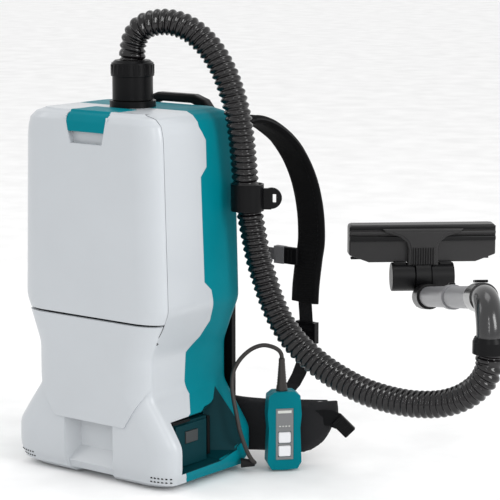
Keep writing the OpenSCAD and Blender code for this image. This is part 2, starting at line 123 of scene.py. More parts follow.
def material(name, colour, rough, grain=1400, bump=0.05, vary=0.05, coat=0.0, sheen=0.0, metal=0.0,
             spec=0.5):
    """Moulded or coated surface: slow colour variation, roughness variation and a fine moulded grain."""
    mat = bpy.data.materials.new(name)
    mat.use_nodes = True
    tree = mat.node_tree
    shader = tree.nodes["Principled BSDF"]
    shader.inputs["Metallic"].default_value = metal
    shader.inputs["Roughness"].default_value = rough
    shader.inputs["Coat Weight"].default_value = coat
    shader.inputs["Coat Roughness"].default_value = 0.12
    shader.inputs["Sheen Weight"].default_value = sheen
    shader.inputs["Specular IOR Level"].default_value = spec
    link = tree.links.new
    place = tree.nodes.new("ShaderNodeTexCoord")
    slow = node_of(tree, "ShaderNodeTexNoise", Scale=9.0, Detail=4.0)
    link(place.outputs["Object"], slow.inputs["Vector"])
    ramp = tree.nodes.new("ShaderNodeValToRGB")
    ramp.color_ramp.elements[0].position = 0.3
    ramp.color_ramp.elements[1].position = 0.7
    ramp.color_ramp.elements[0].color = [c * (1 - vary) for c in colour] + [1]
    ramp.color_ramp.elements[1].color = [min(c * (1 + vary), 1) for c in colour] + [1]
    link(slow.outputs["Fac"], ramp.inputs["Fac"])
    link(ramp.outputs["Color"], shader.inputs["Base Color"])
    span = tree.nodes.new("ShaderNodeMapRange")
    span.inputs["To Min"].default_value = max(rough - 0.06, 0.02)
    span.inputs["To Max"].default_value = min(rough + 0.06, 1)
    link(slow.outputs["Fac"], span.inputs["Value"])
    link(span.outputs["Result"], shader.inputs["Roughness"])
    if grain:
        fine = node_of(tree, "ShaderNodeTexNoise", Scale=float(grain), Detail=2.0)
        link(place.outputs["Object"], fine.inputs["Vector"])
        relief = node_of(tree, "ShaderNodeBump", Strength=bump, Distance=0.0004)
        link(fine.outputs["Fac"], relief.inputs["Height"])
        link(relief.outputs["Normal"], shader.inputs["Normal"])
    return mat


def woven(name, colour, scale, bump=0.5, rough=0.85, light=1.9, angle=0.0, sheen=0.02, spec=0.08):
    """Woven or knitted cloth: two crossed sets of threads, darker in the gaps between them."""
    mat = material(name, colour, rough, grain=0, sheen=sheen, spec=spec)
    tree = mat.node_tree
    shader = tree.nodes["Principled BSDF"]
    link = tree.links.new
    place = tree.nodes.new("ShaderNodeTexCoord")
    turn = tree.nodes.new("ShaderNodeMapping")
    turn.inputs["Rotation"].default_value = (0.4, 0.5, angle)
    link(place.outputs["Object"], turn.inputs["Vector"])
    waves = []
    for direction in ("X", "Y", "Z"):
        wave = node_of(tree, "ShaderNodeTexWave", Scale=scale, Distortion=0.6, Detail=1.0)
        wave.bands_direction = direction
        link(turn.outputs["Vector"], wave.inputs["Vector"])
        waves.append(wave)
    total = tree.nodes.new("ShaderNodeMath")
    total.operation = "MULTIPLY"
    link(waves[0].outputs["Fac"], total.inputs[0])
    link(waves[1].outputs["Fac"], total.inputs[1])
    both = tree.nodes.new("ShaderNodeMath")
    both.operation = "ADD"
    link(total.outputs["Value"], both.inputs[0])
    link(waves[2].outputs["Fac"], both.inputs[1])
    ramp = tree.nodes.new("ShaderNodeValToRGB")
    ramp.color_ramp.elements[0].color = [c * 0.5 for c in colour] + [1]
    ramp.color_ramp.elements[1].color = [min(c * light, 1) for c in colour] + [1]
    link(both.outputs["Value"], ramp.inputs["Fac"])
    link(ramp.outputs["Color"], shader.inputs["Base Color"])
    relief = node_of(tree, "ShaderNodeBump", Strength=bump, Distance=0.0006)
    link(both.outputs["Value"], relief.inputs["Height"])
    link(relief.outputs["Normal"], shader.inputs["Normal"])
    return mat


MATS = {
    "white": material("white_moulded", (0.455, 0.48, 0.505), 0.34, 900, 0.03, 0.02, coat=0.2),
    "teal": material("teal_moulded", (0.0, 0.165, 0.205), 0.42, 1200, 0.08, 0.06, spec=0.05),
    # Dark teal is the batteries' and docks' own colour. On the bay walls it is painted shade: much darker than
    # the casing's teal, it stands in for the shade inside the battery bays.
    "dark_teal_and_bay_shade": material("dark_teal_and_painted_bay_shade", (0.0, 0.026, 0.033), 0.5, 1200, 0.08, 0.1, spec=0.1),
    "black": material("black_moulded", (0.0035, 0.0035, 0.004), 0.32, 1300, 0.08, 0.2, spec=0.11),
    "rubber": material("black_rubber", (0.007, 0.0068, 0.0068), 0.6, 1800, 0.12, 0.2, spec=0.18),
    "cable": material("cable_grey", (0.028, 0.024, 0.022), 0.45, 1800, 0.08, 0.15, spec=0.35),
    "hose": material("hose_glossy", (0.0035, 0.003, 0.0035), 0.1, 700, 0.04, 0.25, spec=0.42),
    "grip": material("grip_glossy", (0.009, 0.009, 0.010), 0.2, 500, 0.04, 0.2, coat=0.3, spec=0.5),
    "nozzle": material("nozzle_satin", (0.018, 0.0175, 0.018), 0.38, 1500, 0.1, 0.12, spec=0.3),
    "barrel": material("barrel_black", (0.0035, 0.0035, 0.004), 0.34, 1500, 0.1, 0.15, spec=0.2),
    "wand": material("wand_grey", (0.20, 0.20, 0.21), 0.36, 900, 0.04, 0.08, metal=0.2, spec=0.4),
    "steel": material("steel_plain", (0.55, 0.55, 0.56), 0.3, 700, 0.05, 0.08, metal=1.0),
    "paper": material("filter_paper", (0.82, 0.80, 0.74), 0.9, 2500, 0.2, 0.05),
    "bag": material("bag_felt", (0.70, 0.66, 0.56), 0.95, 3000, 0.5, 0.06, sheen=0.2),
    "board": material("board_green", (0.01, 0.12, 0.04), 0.45, 600, 0.1, 0.3),
    "panel": material("panel_grey", (0.18, 0.185, 0.19), 0.45, 900, 0.04, 0.06),
    "key": material("key_white", (0.80, 0.80, 0.83), 0.35, 600, 0.03, 0.02),
    "light": material("light_strip", (0.62, 0.64, 0.60), 0.3, 300, 0.05, 0.1),
    "release": material("release_grey", (0.03, 0.034, 0.036), 0.4, 900, 0.05, 0.1, spec=0.35),
    "pad": woven("padded_mesh", (0.010, 0.010, 0.011), 260, 0.5, 0.75, 2.2, sheen=0.04, spec=0.15),
    "strap": woven("padded_strap", (0.0018, 0.0018, 0.002), 260, 0.5, 0.75, 2.4, spec=0.06),
    "edge": woven("binding_tape", (0.006, 0.006, 0.0065), 420, 0.4, 0.6, 2.4, 0.6, spec=0.2),
    "webbing": woven("webbing_black", (0.004, 0.004, 0.0045), 330, 0.6, 0.7, 2.6, 0.3),
    "webbing_grey": woven("webbing_grey", (0.13, 0.13, 0.135), 330, 0.6, 0.7, 1.5, 0.3),
}


# ---------------------------------------------------------------- building helpers

def add_mesh(name, points, faces, mat, body="casing", slot=None, replaces=(), smooth=True):
    """New piece from points in metres."""
    mesh = bpy.data.meshes.new(name)
    mesh.from_pydata([tuple(p) for p in points], [], faces)
    mesh.update()
    return dress(bpy.data.objects.new(name, mesh), mat, body, slot, replaces, smooth)


def dress(piece, mat, body, slot=None, replaces=(), smooth=True):
    """Links the piece, gives it its material and its body, and hides the CAD parts it replaces."""
    if piece.name not in SCENE.collection.objects:
        SCENE.collection.objects.link(piece)
    piece.data.materials.clear()
    piece.data.materials.append(MATS[mat])
    if smooth:
        for face in piece.data.polygons:
            face.use_smooth = True
    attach(piece, body)
    if replaces:
        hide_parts(*replaces)
    return piece


def from_bmesh(name, bm, mat, **keys):
    bmesh.ops.recalc_face_normals(bm, faces=bm.faces)
    mesh = bpy.data.meshes.new(name)
    bm.to_mesh(mesh)
    bm.free()
    return dress(bpy.data.objects.new(name, mesh), mat, keys.pop("body", "casing"), **keys)


def apply_modifiers(piece):
    """Fixes all modifiers into the mesh."""
    bpy.context.view_layer.update()
    graph = bpy.context.evaluated_depsgraph_get()
    mesh = bpy.data.meshes.new_from_object(piece.evaluated_get(graph))
    old = piece.data
    piece.modifiers.clear()
    piece.data = mesh
    bpy.data.meshes.remove(old)
    return piece


def bevel(piece, width, segments=3, angle=32):
    mod = piece.modifiers.new("bevel", "BEVEL")
    mod.width = width * MM
    mod.segments = segments
    mod.limit_method = "ANGLE"
    mod.angle_limit = math.radians(angle)
    mod.harden_normals = False
    smooth_by_angle(piece)
    return piece


def smooth_by_angle(piece, degrees=38):
    """Marks edges steeper than the angle as sharp."""
    bm = bmesh.new()
    bm.from_mesh(piece.data)
    for edge in bm.edges:
        if len(edge.link_faces) == 2:
            edge.smooth = edge.calc_face_angle(0) < math.radians(degrees)
    for face in bm.faces:
        face.smooth = True
    bm.to_mesh(piece.data)
    bm.free()


def finished(node, mat, width=1.0, segments=3):
    """A finer copy of a hard CAD piece, with its edges rounded as they are moulded."""
    source = frame["nodes"][node]
    piece = bpy.data.objects.new(node + "_moulded", source.data.copy())
    bm = bmesh.new()
    bm.from_mesh(piece.data)
    bmesh.ops.remove_doubles(bm, verts=bm.verts, dist=0.00002)
    bmesh.ops.dissolve_limit(bm, angle_limit=math.radians(1.5), verts=bm.verts, edges=bm.edges)
    bm.to_mesh(piece.data)
    bm.free()
    slot = next(s["material_slot"] for s in frame["record"]["subparts"] if s["node"] == node)
    dress(piece, mat, source["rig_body"], slot, [node])
    return bevel(piece, width, segments)


def box_piece(name, low, high, mat, body="casing", round_mm=1.0, matrix=None):
    """Small moulded block with rounded edges, corners in millimetres."""
    bm = bmesh.new()
    bmesh.ops.create_cube(bm, size=1)
    for v in bm.verts:
        v.co = Vector([(a + b) / 2 + c * (b - a) for a, b, c in zip(low, high, v.co)]) * MM
        if matrix is not None:
            v.co = matrix @ v.co
    return bevel(from_bmesh(name, bm, mat, body=body), round_mm)


def spline(points, parts):
    """Smooth curve through the points, as in the design: parts pieces to each interval."""
    out = []
    last = len(points) - 1
    for i in range(last):
        a, b, c, d = (Vector(points[max(i - 1, 0)]), Vector(points[i]), Vector(points[i + 1]),
                      Vector(points[min(i + 2, last)]))
        for k in range(parts):
            t = k / parts
            out.append(0.5 * (2 * b + (c - a) * t + (2 * a - 5 * b + 4 * c - d) * t * t
                              + (3 * b - a - 3 * c + d) * t ** 3))
    return out + [Vector(points[last])]


def resample(path, step):
    """The same line with points an even step apart."""
    lengths = [0.0]
    for a, b in zip(path, path[1:]):
        lengths.append(lengths[-1] + (b - a).length)
    count = max(int(round(lengths[-1] / step)), 1)
    out, i = [], 0
    for k in range(count + 1):
        s = lengths[-1] * k / count
        while i < len(path) - 2 and lengths[i + 1] < s:
            i += 1
        span = lengths[i + 1] - lengths[i]
        out.append(path[i].lerp(path[i + 1], (s - lengths[i]) / span if span else 0))
    return out


def skin(rings):
    """Points and faces of a closed solid through rings of equal size."""
    n = len(rings[0])
    points = [p for ring in rings for p in ring]
    faces = [(i * n + j, i * n + (j + 1) % n, (i + 1) * n + (j + 1) % n, (i + 1) * n + j)
             for i in range(len(rings) - 1) for j in range(n)]
    faces += [tuple(range(n))[::-1], tuple(range((len(rings) - 1) * n, len(rings) * n))]
    return points, faces


def tangents(path):
    last = len(path) - 1
    return [(path[min(i + 1, last)] - path[max(i - 1, 0)]).normalized() for i in range(last + 1)]


# ---------------------------------------------------------------- cords

HOSE_ROUTE = [
    (0, -12, 592), (0, -12, 598), (0, -12, 604), (3, -10, 621), (12, -6, 636), (30, 1, 644),
    (52, 11, 645), (74, 20, 638), (94, 28, 623), (112, 33, 603), (128, 36, 578), (141, 37, 550),
    (150, 38, 522), (154, 41, 492), (155, 45, 461), (155, 49, 430), (156, 53, 400), (160, 56, 370),
    (165, 58, 342), (172, 59, 312), (181, 60, 286), (191, 60, 262), (204, 60, 238), (220, 61, 216),
    (239, 61, 198), (261, 62, 183), (286, 63, 169), (315, 64, 157), (347, 65, 147), (381, 67, 141),
    (416, 68, 139), (449, 70, 141), (479, 71, 147), (507, 73, 159), (529, 74.5, 176),
    (541, 75.5, 193), (545.7, 75.7, 208), (545.7, 75.7, 216), (545.7, 75.7, 224),
]
CABLE_ROUTE = [
    (184.4, 97.2, 163.9), (184.1, 97, 169), (181, 95, 175.5), (174, 89, 181), (163, 80, 183.5),
    (151, 69, 178), (140.5, 58, 165), (135, 49, 149), (136, 43, 133), (141, 38, 117), (148, 34, 101),
    (154, 32, 84), (158, 33, 66), (161, 38, 48), (163, 44, 33), (165, 51, 21), (166, 58, 14),
]


def metres(route):
    return [Vector(p) * MM for p in route]


HOSE_RADIUS, RIB_DEPTH, RIB_PITCH, RIB_SHARPNESS = 0.019, 0.0034, 0.0094, 0.62
CABLE_RADIUS = 0.0031


def make_hose():
    """Spiral-ribbed hose: one rounded rib winds round the tube with a fixed pitch."""
    path = resample(spline(metres(HOSE_ROUTE), 12), RIB_PITCH / (9))
    sides = 40
    across = Vector((-0.15, 1, 0))
    run, rings = 0.0, []
    for i, (p, t) in enumerate(zip(path, tangents(path))):
        if i:
            run += (p - path[i - 1]).length
        u = t.cross(across).normalized()
        v = t.cross(u)
        ring = []
        for j in range(sides):
            a = -2 * math.pi * j / sides
            wave = 0.5 + 0.5 * math.cos(2 * math.pi * run / RIB_PITCH + a)
            r = HOSE_RADIUS - RIB_DEPTH * (1 - wave ** RIB_SHARPNESS)
            ring.append(p + r * (math.cos(a) * u + math.sin(a) * v))
        rings.append(ring)
    hose = add_mesh("hose_ribbed", *skin(rings), "hose", "casing", "hose_plastic", ["hose"])
    make_hose_clip()


def make_hose_clip():
    """Band round the hose with a hooked ear that has a slot in it."""
    return finished("hose_clip", "black", 1.2)


def make_cable():
    """Round cable from the handset's strain relief to the gland in the casing's foot."""
    path = resample(spline(metres(CABLE_ROUTE), 10), 0.003)
    rings = []
    across = Vector((-0.15, 1, 0))
    for p, t in zip(path, tangents(path)):
        u = t.cross(across).normalized()
        v = t.cross(u)
        rings.append([p + CABLE_RADIUS * (math.cos(a) * u + math.sin(a) * v)
                      for a in [-2 * math.pi * j / 16 for j in range(16)]])
    cable = add_mesh("handset_cable", *skin(rings), "cable", "casing", "black_rubber", ["remote_cable"])


# ---------------------------------------------------------------- casing

UPPER, WAIST, FOOT, FRONT, BACK, TOP = 131, 104, 150, 112, 80, 525
CASING_ROWS = [
    (3, FOOT - 22, FRONT - 14, BACK - 14), (10, FOOT - 6, FRONT - 4, BACK - 6), (26, FOOT, FRONT, BACK),
    (64, FOOT, FRONT, BACK), (98, WAIST + 22, FRONT, BACK), (128, WAIST, FRONT, BACK),
    (186, WAIST, FRONT, BACK), (222, WAIST + 14, FRONT, BACK), (252, UPPER, FRONT, BACK),
    (TOP - 30, UPPER - 7, FRONT, BACK), (TOP - 14, UPPER - 11, FRONT - 1, BACK - 3),
    (TOP - 5, UPPER - 19, FRONT - 5, BACK - 9), (TOP, UPPER - 30, FRONT - 13, BACK - 20),
]
CORNER_X, CORNER_Y, REAR_R = 42, 20, 22
SEAM = 91
LID_Z = 236


def row_at(z):
    """Half width, front and back of the casing at a height, by straight lines between the rows."""
    for a, b in zip(CASING_ROWS, CASING_ROWS[1:]):
        if z <= b[0]:
            t = max((z - a[0]) / (b[0] - a[0]), 0)
            return [p + t * (q - p) for p, q in zip(a[1:], b[1:])]
    return list(CASING_ROWS[-1][1:])


def smooth_row(z, reach):
    """The same, averaged over a short reach up and down, which rounds the bends."""
    if z < 12 or z > TOP - 22:
        return row_at(z)
    samples = [row_at(z + reach * k / 4) for k in range(-4, 5)]
    return [sum(s[i] for s in samples) / 9 for i in range(3)]


def casing_ring(z, out):
    """One section of the casing, out millimetres outside the nominal surface."""
    w, f, b = [v + out for v in smooth_row(z, 7)]
    rx, ry, r = CORNER_X + out, CORNER_Y + out, REAR_R + out
    ring = []

    def arc(cx, cy, ax, ay, start, steps):
        for i in range(steps + 1):
            a = math.radians(start + 90 * i / steps)
            ring.append(Vector((cx + ax * math.cos(a), cy + ay * math.sin(a), z)) * MM)

    arc(-w + rx, -f + ry, rx, ry, 180, 14)
    arc(w - rx, -f + ry, rx, ry, 270, 14)
    arc(w - r, b - r, r, r, 0, 10)
    arc(-w + r, b - r, r, r, 90, 10)
    return ring


def as_bmesh(points, faces):
    bm = bmesh.new()
    verts = [bm.verts.new(p) for p in points]
    for f in faces:
        bm.faces.new([verts[i] for i in f])
    bmesh.ops.recalc_face_normals(bm, faces=bm.faces)
    return bm


def casing_surface(out=0.0):
    """The whole outer surface of the casing as a bmesh, closed at both ends."""
    heights = ([3, 5, 7.5, 10, 14, 18, 22, 26, 34, 44, 54, 60] + list(range(64, 276, 4))
               + list(range(280, 500, 12))
               + [500, 505, 508, 511, 514, 516.5, 518.5, 520, 521.5, 523, 524, 524.7])
    rings = [casing_ring(z, out) for z in heights]
    rings[-1] = [Vector((p.x, p.y, (TOP + max(out, 0)) * MM)) for p in rings[-1]]
    return as_bmesh(*skin(rings))


def cut(bm, point, normal):
    """Splits the surface along a plane, in millimetres, and keeps both sides."""
    bmesh.ops.bisect_plane(bm, geom=bm.verts[:] + bm.edges[:] + bm.faces[:], dist=1e-6,
                           plane_co=Vector(point) * MM, plane_no=Vector(normal))


def keep(bm, rule):
    """Keeps the faces whose centre, in millimetres, follows the rule."""
    gone = [f for f in bm.faces if not rule(*(f.calc_center_median() / MM))]
    bmesh.ops.delete(bm, geom=gone, context="FACES")


def shell(name, bm, mat, thick, slot, replaces=(), body="casing", cutters=(), edge=0.8):
    """A moulded wall made from a piece of the surface."""
    piece = from_bmesh(name, bm, mat, body=body, slot=slot, replaces=replaces)
    solid = piece.modifiers.new("wall", "SOLIDIFY")
    solid.thickness = thick * MM
    solid.offset = -1
    solid.use_even_offset = True
    for cutter in cutters:
        mod = piece.modifiers.new("cut", "BOOLEAN")
        mod.operation = "DIFFERENCE"
        mod.solver = "EXACT"
        mod.object = cutter
    apply_modifiers(piece)
    return bevel(piece, edge, 2, 40)


PARTING = [(525, -14), (504, -12), (485, 0), (447, 0), (434, -13), (285, -11), (272, 4), (225, 14), (203, 2),
           (183, -22), (142, -25), (123, -19), (100, -37), (90, -60), (26, -77), (10, -69), (3, -49)]


def white_limit(z, side):
    """How far back the white casing reaches at a height; side moves the line either way."""
    for (za, ya), (zb, yb) in zip(PARTING, PARTING[1:]):
        if z >= zb:
            return ya + (yb - ya) * min(max((za - z) / (za - zb), 0), 1) + side
    return PARTING[-1][1] + side


def split_white(bm, side):
    """Splits the surface along the parting line of the white front and the teal rear."""
    for z, y in PARTING[1:-1]:
        cut(bm, (0, 0, z), (0, 0, 1))
    for (za, ya), (zb, yb) in zip(PARTING, PARTING[1:]):
        band = [f for f in bm.faces if zb < f.calc_center_median().z / MM < za]
        geom = {e for f in band for e in f.edges} | {v for f in band for v in f.verts}
        bmesh.ops.bisect_plane(bm, geom=list(geom) + band, dist=1e-6,
                               plane_co=Vector((0, ya + side, za)) * MM,
                               plane_no=Vector((0, za - zb, yb - ya)))


BAY_OUT = [(-86, 97), (-8, 99), (26, 112), (62, 131), (58, 76), (50, 44), (38, 35), (0, 27), (-86, 25)]
BAY_IN = [(-82, 95), (-20, 96), (6, 100), (36, 122), (4, 70), (2, 50), (3, 34), (0, 26.8), (-82, 26.8)]


BAY_DEEP, BAY_RIM = 99, 170


def bay_form(sign):
    """Tapered form of a battery bay, wide at the casing's side and narrow at the dock."""
    slope = (BAY_RIM - BAY_DEEP) / (150 - BAY_DEEP)
    points = [Vector((sign * BAY_DEEP, y, z)) * MM for y, z in BAY_IN]
    for (yo, zo), (yi, zi) in zip(BAY_OUT, BAY_IN):
        points.append(Vector((sign * BAY_RIM, yi + (yo - yi) * slope, zi + (zo - zi) * slope)) * MM)
    n = len(BAY_OUT)
    faces = [(j, (j + 1) % n, n + (j + 1) % n, n + j) for j in range(n)]
    return points, faces, n


def bay_cutter(sign):
    points, faces, n = bay_form(sign)
    faces += [tuple(range(n))[::-1], tuple(range(n, 2 * n))]
    return loose_mesh("cutter", points, faces)


def loose_mesh(name, points, faces):
    """A mesh used only as a tool while the script runs."""
    bm = as_bmesh(points, faces)
    mesh = bpy.data.meshes.new(name)
    bm.to_mesh(mesh)
    bm.free()
    tool = bpy.data.objects.new(name, mesh)
    SCENE.collection.objects.link(tool)
    return tool


def make_bay_liner(sign, tag):
    """Walls between the dock and the casing's side; the back wall slopes out to the rim."""
    points, faces, n = bay_form(sign)
    for i in range(n):
        inner, rim = points[i], points[n + i]
        reach = 1.0
        for _ in range(12):
            edge = inner.lerp(rim, reach)
            wall = row_at(edge.z / MM)[0] - 1.0
            reach = max((wall - BAY_DEEP) / (BAY_RIM - BAY_DEEP), 0.03)
        points[n + i] = inner.lerp(rim, reach)
    # The bay walls' dark teal is painted shade for the inside of the bay.
    liner = add_mesh("bay_liner_" + tag, points, faces, "dark_teal_and_bay_shade", "casing", "dark_teal", smooth=False)
    wall = liner.modifiers.new("wall", "SOLIDIFY")
    wall.thickness = 1.4 * MM
    wall.offset = 0
    apply_modifiers(liner)
    bevel(liner, 0.4, 2)
    box_piece("bay_rail_" + tag, *ordered(sign, (104, -3, 34), (128, 2.5, 90)), "black")
    box_piece("bay_ledge_" + tag, *ordered(sign, (100, -84, 91.5), (132, -46, 95)), "black")


def ordered(sign, low, high):
    """Corners of a box, mirrored to the left side when sign is negative."""
    xs = sorted((sign * low[0], sign * high[0]))
    return (xs[0], low[1], low[2]), (xs[1], high[1], high[2])


RECESS = [(-91, 88), (-91, 40), (-107, 20), (-104, 10), (-80, 10)]


def recess_points(profile):
    """Hollow between the two front feet: splayed sides, a sloping ledge and an arch below."""
    points = []
    for front, deep in ((-49, -35), (44, 32)):
        for y, z in profile:
            points.append(Vector((front + (deep - front) * (y + 112) / 21.0, y, z)) * MM)
    return points


def make_recess():
    """Cuts the hollow into the casing and gives it walls."""
    outer = RECESS + [(-80, -6), (-135, -6), (-135, 88)]
    n = len(outer)
    sides = [(j, (j + 1) % n, n + (j + 1) % n, n + j) for j in range(n)]
    ends = [tuple(range(n)), tuple(range(n, 2 * n))[::-1]]
    cutter = loose_mesh("cutter", recess_points(outer), sides + ends)
    inner = RECESS + [(-80, 3.8), (-99, 3.8), (-107.2, 10), (-111.4, 26), (-111.4, 88)]
    n = len(inner)
    walls = [(j, j + 1, n + j + 1, n + j) for j in range(4)]
    ends = [tuple(range(n)), tuple(range(n, 2 * n))[::-1]]
    liner = add_mesh("foot_recess", recess_points(inner), walls + ends, "white", slot="white_plastic",
                     smooth=False)
    wall = liner.modifiers.new("wall", "SOLIDIFY")
    wall.thickness = 1.6 * MM
    wall.offset = 0
    apply_modifiers(liner)
    bevel(liner, 0.5, 2)
    return cutter


def latch_side(z):
    """Half width of the latch opening at a height: narrower towards its lower edge."""
    return 30.0 + 8.5 * min(max((z - 480) / 36.0, 0), 1)


def latch_cut(grow=0.0, low=480.0, deep=9.0):
    """Tool that cuts the latch's pocket into the lid."""
    heights = [low, 488, 497, 506, 516, 540]
    points = []
    for z in heights:
        h = latch_side(z) + grow
        back = -FRONT + deep
        points += [Vector((x, y, z)) * MM for x, y in ((-h, -140), (h, -140), (h, back), (-h, back))]
    faces = [(4 * i + j, 4 * i + (j + 1) % 4, 4 * i + 4 + (j + 1) % 4, 4 * i + 4 + j)
             for i in range(len(heights) - 1) for j in range(4)]
    last = 4 * (len(heights) - 1)
    faces += [(3, 2, 1, 0), (last, last + 1, last + 2, last + 3)]
    return points, faces


def latch_notch():
    """Room for the latch's rear edge to swing down into, hidden under the keeper."""
    corners = ((-38, -95), (38, -95), (38, -84), (-38, -84))
    points = [Vector((x, y, z)) * MM for z in (500, 530) for x, y in corners]
    faces = [(j, (j + 1) % 4, 4 + (j + 1) % 4, 4 + j) for j in range(4)] + [(3, 2, 1, 0), (4, 5, 6, 7)]
    return loose_mesh("cutter", points, faces)


def make_casing():
    recess = make_recess()
    bays = [bay_cutter(1), bay_cutter(-1)]
    hole = inlet_cutter()
    tools = [recess, hole] + bays
    gap = 0.45

    bm = casing_surface()
    split_white(bm, -gap)
    cut(bm, (0, -SEAM, 0), (0, 1, 0))
    cut(bm, (0, 0, LID_Z - 3), (0, 0, 1))
    keep(bm, lambda x, y, z: y < white_limit(z, -gap) and not (y < -SEAM and z > LID_Z - 3))
    notch = latch_notch()
    shell("front_casing", bm, "white", 3, "white_plastic", ["front_shell"], cutters=tools + [notch])

    bm = casing_surface(-0.8)
    split_white(bm, gap)
    keep(bm, lambda x, y, z: y > white_limit(z, gap))
    shell("rear_casing", bm, "teal", 2.6, "teal_plastic", ["rear_shell"], cutters=[hole] + bays)

    bm = casing_surface(1.2)
    cut(bm, (0, -SEAM - 2.2, 0), (0, 1, 0))
    cut(bm, (0, 0, LID_Z + 0.2), (0, 0, 1))
    keep(bm, lambda x, y, z: y < -SEAM - 2.2 and z > LID_Z + 0.2)
    pocket = loose_mesh("cutter", *latch_cut())
    shell("lid_cover", bm, "white", 4, "white_plastic", ["lid"], body="lid", cutters=[pocket], edge=1.0)
    make_latch()
    make_lid_corner()

    bm = casing_surface(-3.6)
    cut(bm, (0, -SEAM - 7, 0), (0, 1, 0))
    cut(bm, (0, -SEAM + 6, 0), (0, 1, 0))
    cut(bm, (0, 0, 228), (0, 0, 1))
    keep(bm, lambda x, y, z: -SEAM - 7 < y < -SEAM + 6 and z > 228)
    shell("seam_flange", bm, "rubber", 1.5, "black_rubber", edge=0.3)

    bm = casing_surface(2.4)
    for z in (84, LID_Z - 3.4):
        cut(bm, (0, 0, z), (0, 0, 1))
    cut(bm, (0, -97, 0), (0, 1, 0))
    for s in (-1, 1):
        cut(bm, (s * 66, 0, 84), (s * 48, 0, -32))
    keep(bm, lambda x, y, z: 84 < z < LID_Z - 3.4 and y < -97 and (abs(x) - 66) * 48 < (z - 84) * 32)
    shell("front_bib_cover", bm, "white", 2.6, "white_plastic", ["front_bib"], edge=1.0)

    for tool in tools + [notch, pocket]:
        bpy.data.objects.remove(tool)


def surface_line(points, out=0.3):
    """Line on the casing's right front corner. Each point has its height and either its y or its x."""
    line = []
    for z, y, x in points:
        w, f = smooth_row(z, 7)[:2]
        if x is None:
            cy = -f + CORNER_Y
            if y < cy:
                x = w - CORNER_X + CORNER_X * math.sqrt(max(1 - ((cy - y) / CORNER_Y) ** 2, 0))
            else:
                x = w
        else:
            past = max(x - (w - CORNER_X), 0) / CORNER_X
            y = -f + CORNER_Y - CORNER_Y * math.sqrt(max(1 - past ** 2, 0))
        line.append(Vector((x + out * 0.6, y - out * 0.8, z)) * MM)
    return line


def tube(name, line, radius, mat, slot, sides=10):
    """Thin round line along points in metres."""
    rings = []
    for p, t in zip(line, tangents(line)):
        u = t.cross(Vector((0.31, 0.52, 0.79))).normalized()
        v = t.cross(u)
        rings.append([p + radius * MM * (math.cos(a) * u + math.sin(a) * v)
                      for a in [2 * math.pi * j / sides for j in range(sides)]])
    return add_mesh(name, *skin(rings), mat, "casing", slot)


def make_lid_corner():
    """Thin black line that carries the lid's seam on round the lower corner of the casing: painted shade
    standing in for the shade in the seam's groove.
    """
    path = [(236, -92.2, None), (226, -92.6, None), (218, -94.5, None), (211.5, -98, None), (207, None, 113),
            (205, None, 108), (204.6, None, 102)]
    line = resample(surface_line(path, 0.0), 0.002)
    for s, tag in ((1, "right"), (-1, "left")):
        # The black tube is painted shade: a dark line in place of the groove's shade.
        tube("lid_corner_seam_shade_line_" + tag, [Vector((s * p.x, p.y, p.z)) for p in line], 0.55, "rubber",
             "black_rubber")


def inlet_cutter():
    bm = bmesh.new()
    bmesh.ops.create_cone(bm, cap_ends=True, segments=48, radius1=0.0305, radius2=0.0305, depth=0.06)
    bmesh.ops.translate(bm, verts=bm.verts, vec=(0, -0.012, 0.525))
    mesh = bpy.data.meshes.new("cutter")
    bm.to_mesh(mesh)
    bm.free()
    tool = bpy.data.objects.new("cutter", mesh)
    SCENE.collection.objects.link(tool)
    return tool


TAB_LOW, TAB_LOW_HALF, TAB_HALF, TAB_FLARE = 497, 33.4, 37.4, 9.5 / 36
KEEPER_HALF = 38.6


def in_tab(x, y, z):
    """Whether a point belongs to the latch tab, which flares towards the lid's top edge."""
    return z > TAB_LOW and y < -SEAM - 2 and abs(x) < min(TAB_HALF, TAB_LOW_HALF + (z - TAB_LOW) * TAB_FLARE)


def make_latch():
    """Teal pull tab that wraps over the lid's top edge, and the pocket under it."""
    bm = casing_surface(1.6)
    cut(bm, (0, 0, TAB_LOW), (0, 0, 1))
    cut(bm, (0, -SEAM - 2, 0), (0, 1, 0))
    for s in (-1, 1):
        cut(bm, (s * TAB_LOW_HALF, 0, TAB_LOW), (s * 36, 0, -9.5))
        cut(bm, (s * TAB_HALF, 0, 0), (s, 0, 0))
    keep(bm, in_tab)
    shell("latch_tab", bm, "teal", 4.5, "teal_plastic", ["lid_latch"], body="latch", edge=1.3)

    bm = casing_surface(1.0)
    cut(bm, (0, -SEAM + 1, 0), (0, 1, 0))
    cut(bm, (0, -48, 0), (0, 1, 0))
    for s in (-1, 1):
        cut(bm, (s * KEEPER_HALF, 0, 0), (s, 0, 0))
    keep(bm, lambda x, y, z: z > 515 and -SEAM + 1 < y < -48 and abs(x) < KEEPER_HALF)
    shell("latch_keeper", bm, "teal", 1.6, "teal_plastic", edge=0.6)

    points, faces = latch_cut(-0.2, 480.2, 8.8)
    clipped = [Vector((p.x, max(p.y, -0.1128), min(p.z, 0.519))) for p in points]
    sides = [f for i, f in enumerate(faces[:-1]) if i % 4 or i >= 20]
    liner = add_mesh("latch_pocket", clipped, sides, "white", "lid", "white_plastic", smooth=False)
    wall = liner.modifiers.new("wall", "SOLIDIFY")
    wall.thickness = 1.2 * MM
    wall.offset = 0
    apply_modifiers(liner)
    bevel(liner, 0.4, 2)


# ---------------------------------------------------------------- soft goods

def pillow(width, thick, sides, edge):
    """Closed section of a padded band: a soft crown, pinched where the edges are bound."""
    out = []
    for j in range(sides):
        a = 2 * math.pi * j / sides
        c, s = math.cos(a), math.sin(a)
        x = math.copysign(abs(c) ** 0.5, c) * width / 2
        pinch = 1 - edge * max(0.0, abs(x) / (width / 2) - 0.80) / 0.20
        y = math.copysign(abs(s) ** 0.7, s) * thick / 2 * pinch
        out.append((x, y))
    return out


